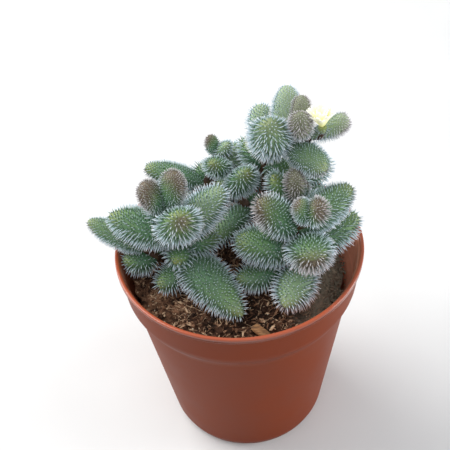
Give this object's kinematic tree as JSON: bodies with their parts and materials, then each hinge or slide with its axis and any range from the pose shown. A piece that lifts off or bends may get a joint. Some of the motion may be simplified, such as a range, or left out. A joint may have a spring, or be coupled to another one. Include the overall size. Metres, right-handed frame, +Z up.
{
  "type": "potted pickle plant",
  "caption": "Small potted succulent: shoots of fat cylindrical leaves covered in soft white spines, one pale yellow flower, in a tapered terracotta-coloured nursery pot.",
  "frame": {"origin": "centre of the pot's base, on the surface that it stands on", "axes": "+Z up along the pot's axis, -Y towards the side seen in the picture, +X to its right"},
  "size_m": [0.0605, 0.0563, 0.0826],
  "materials": {
    "pot_plastic": "satin injection-moulded polypropylene, terracotta brown, with a brighter orange lip",
    "peat": null,
    "leaf": null,
    "petal": null
  },
  "bodies": {
    "root": {"pot": "pot_plastic", "soil": "peat", "shoot_left": "leaf", "shoot_far_left": "leaf", "shoot_right": "leaf", "shoot_right_back": "leaf", "shoot_tall": "leaf", "shoot_mid": "leaf", "shoot_mid_back": "leaf", "shoot_back_left": "leaf", "shoot_back_right": "leaf", "shoot_back": "leaf", "flower": "petal"}
  },
  "joints": []
}
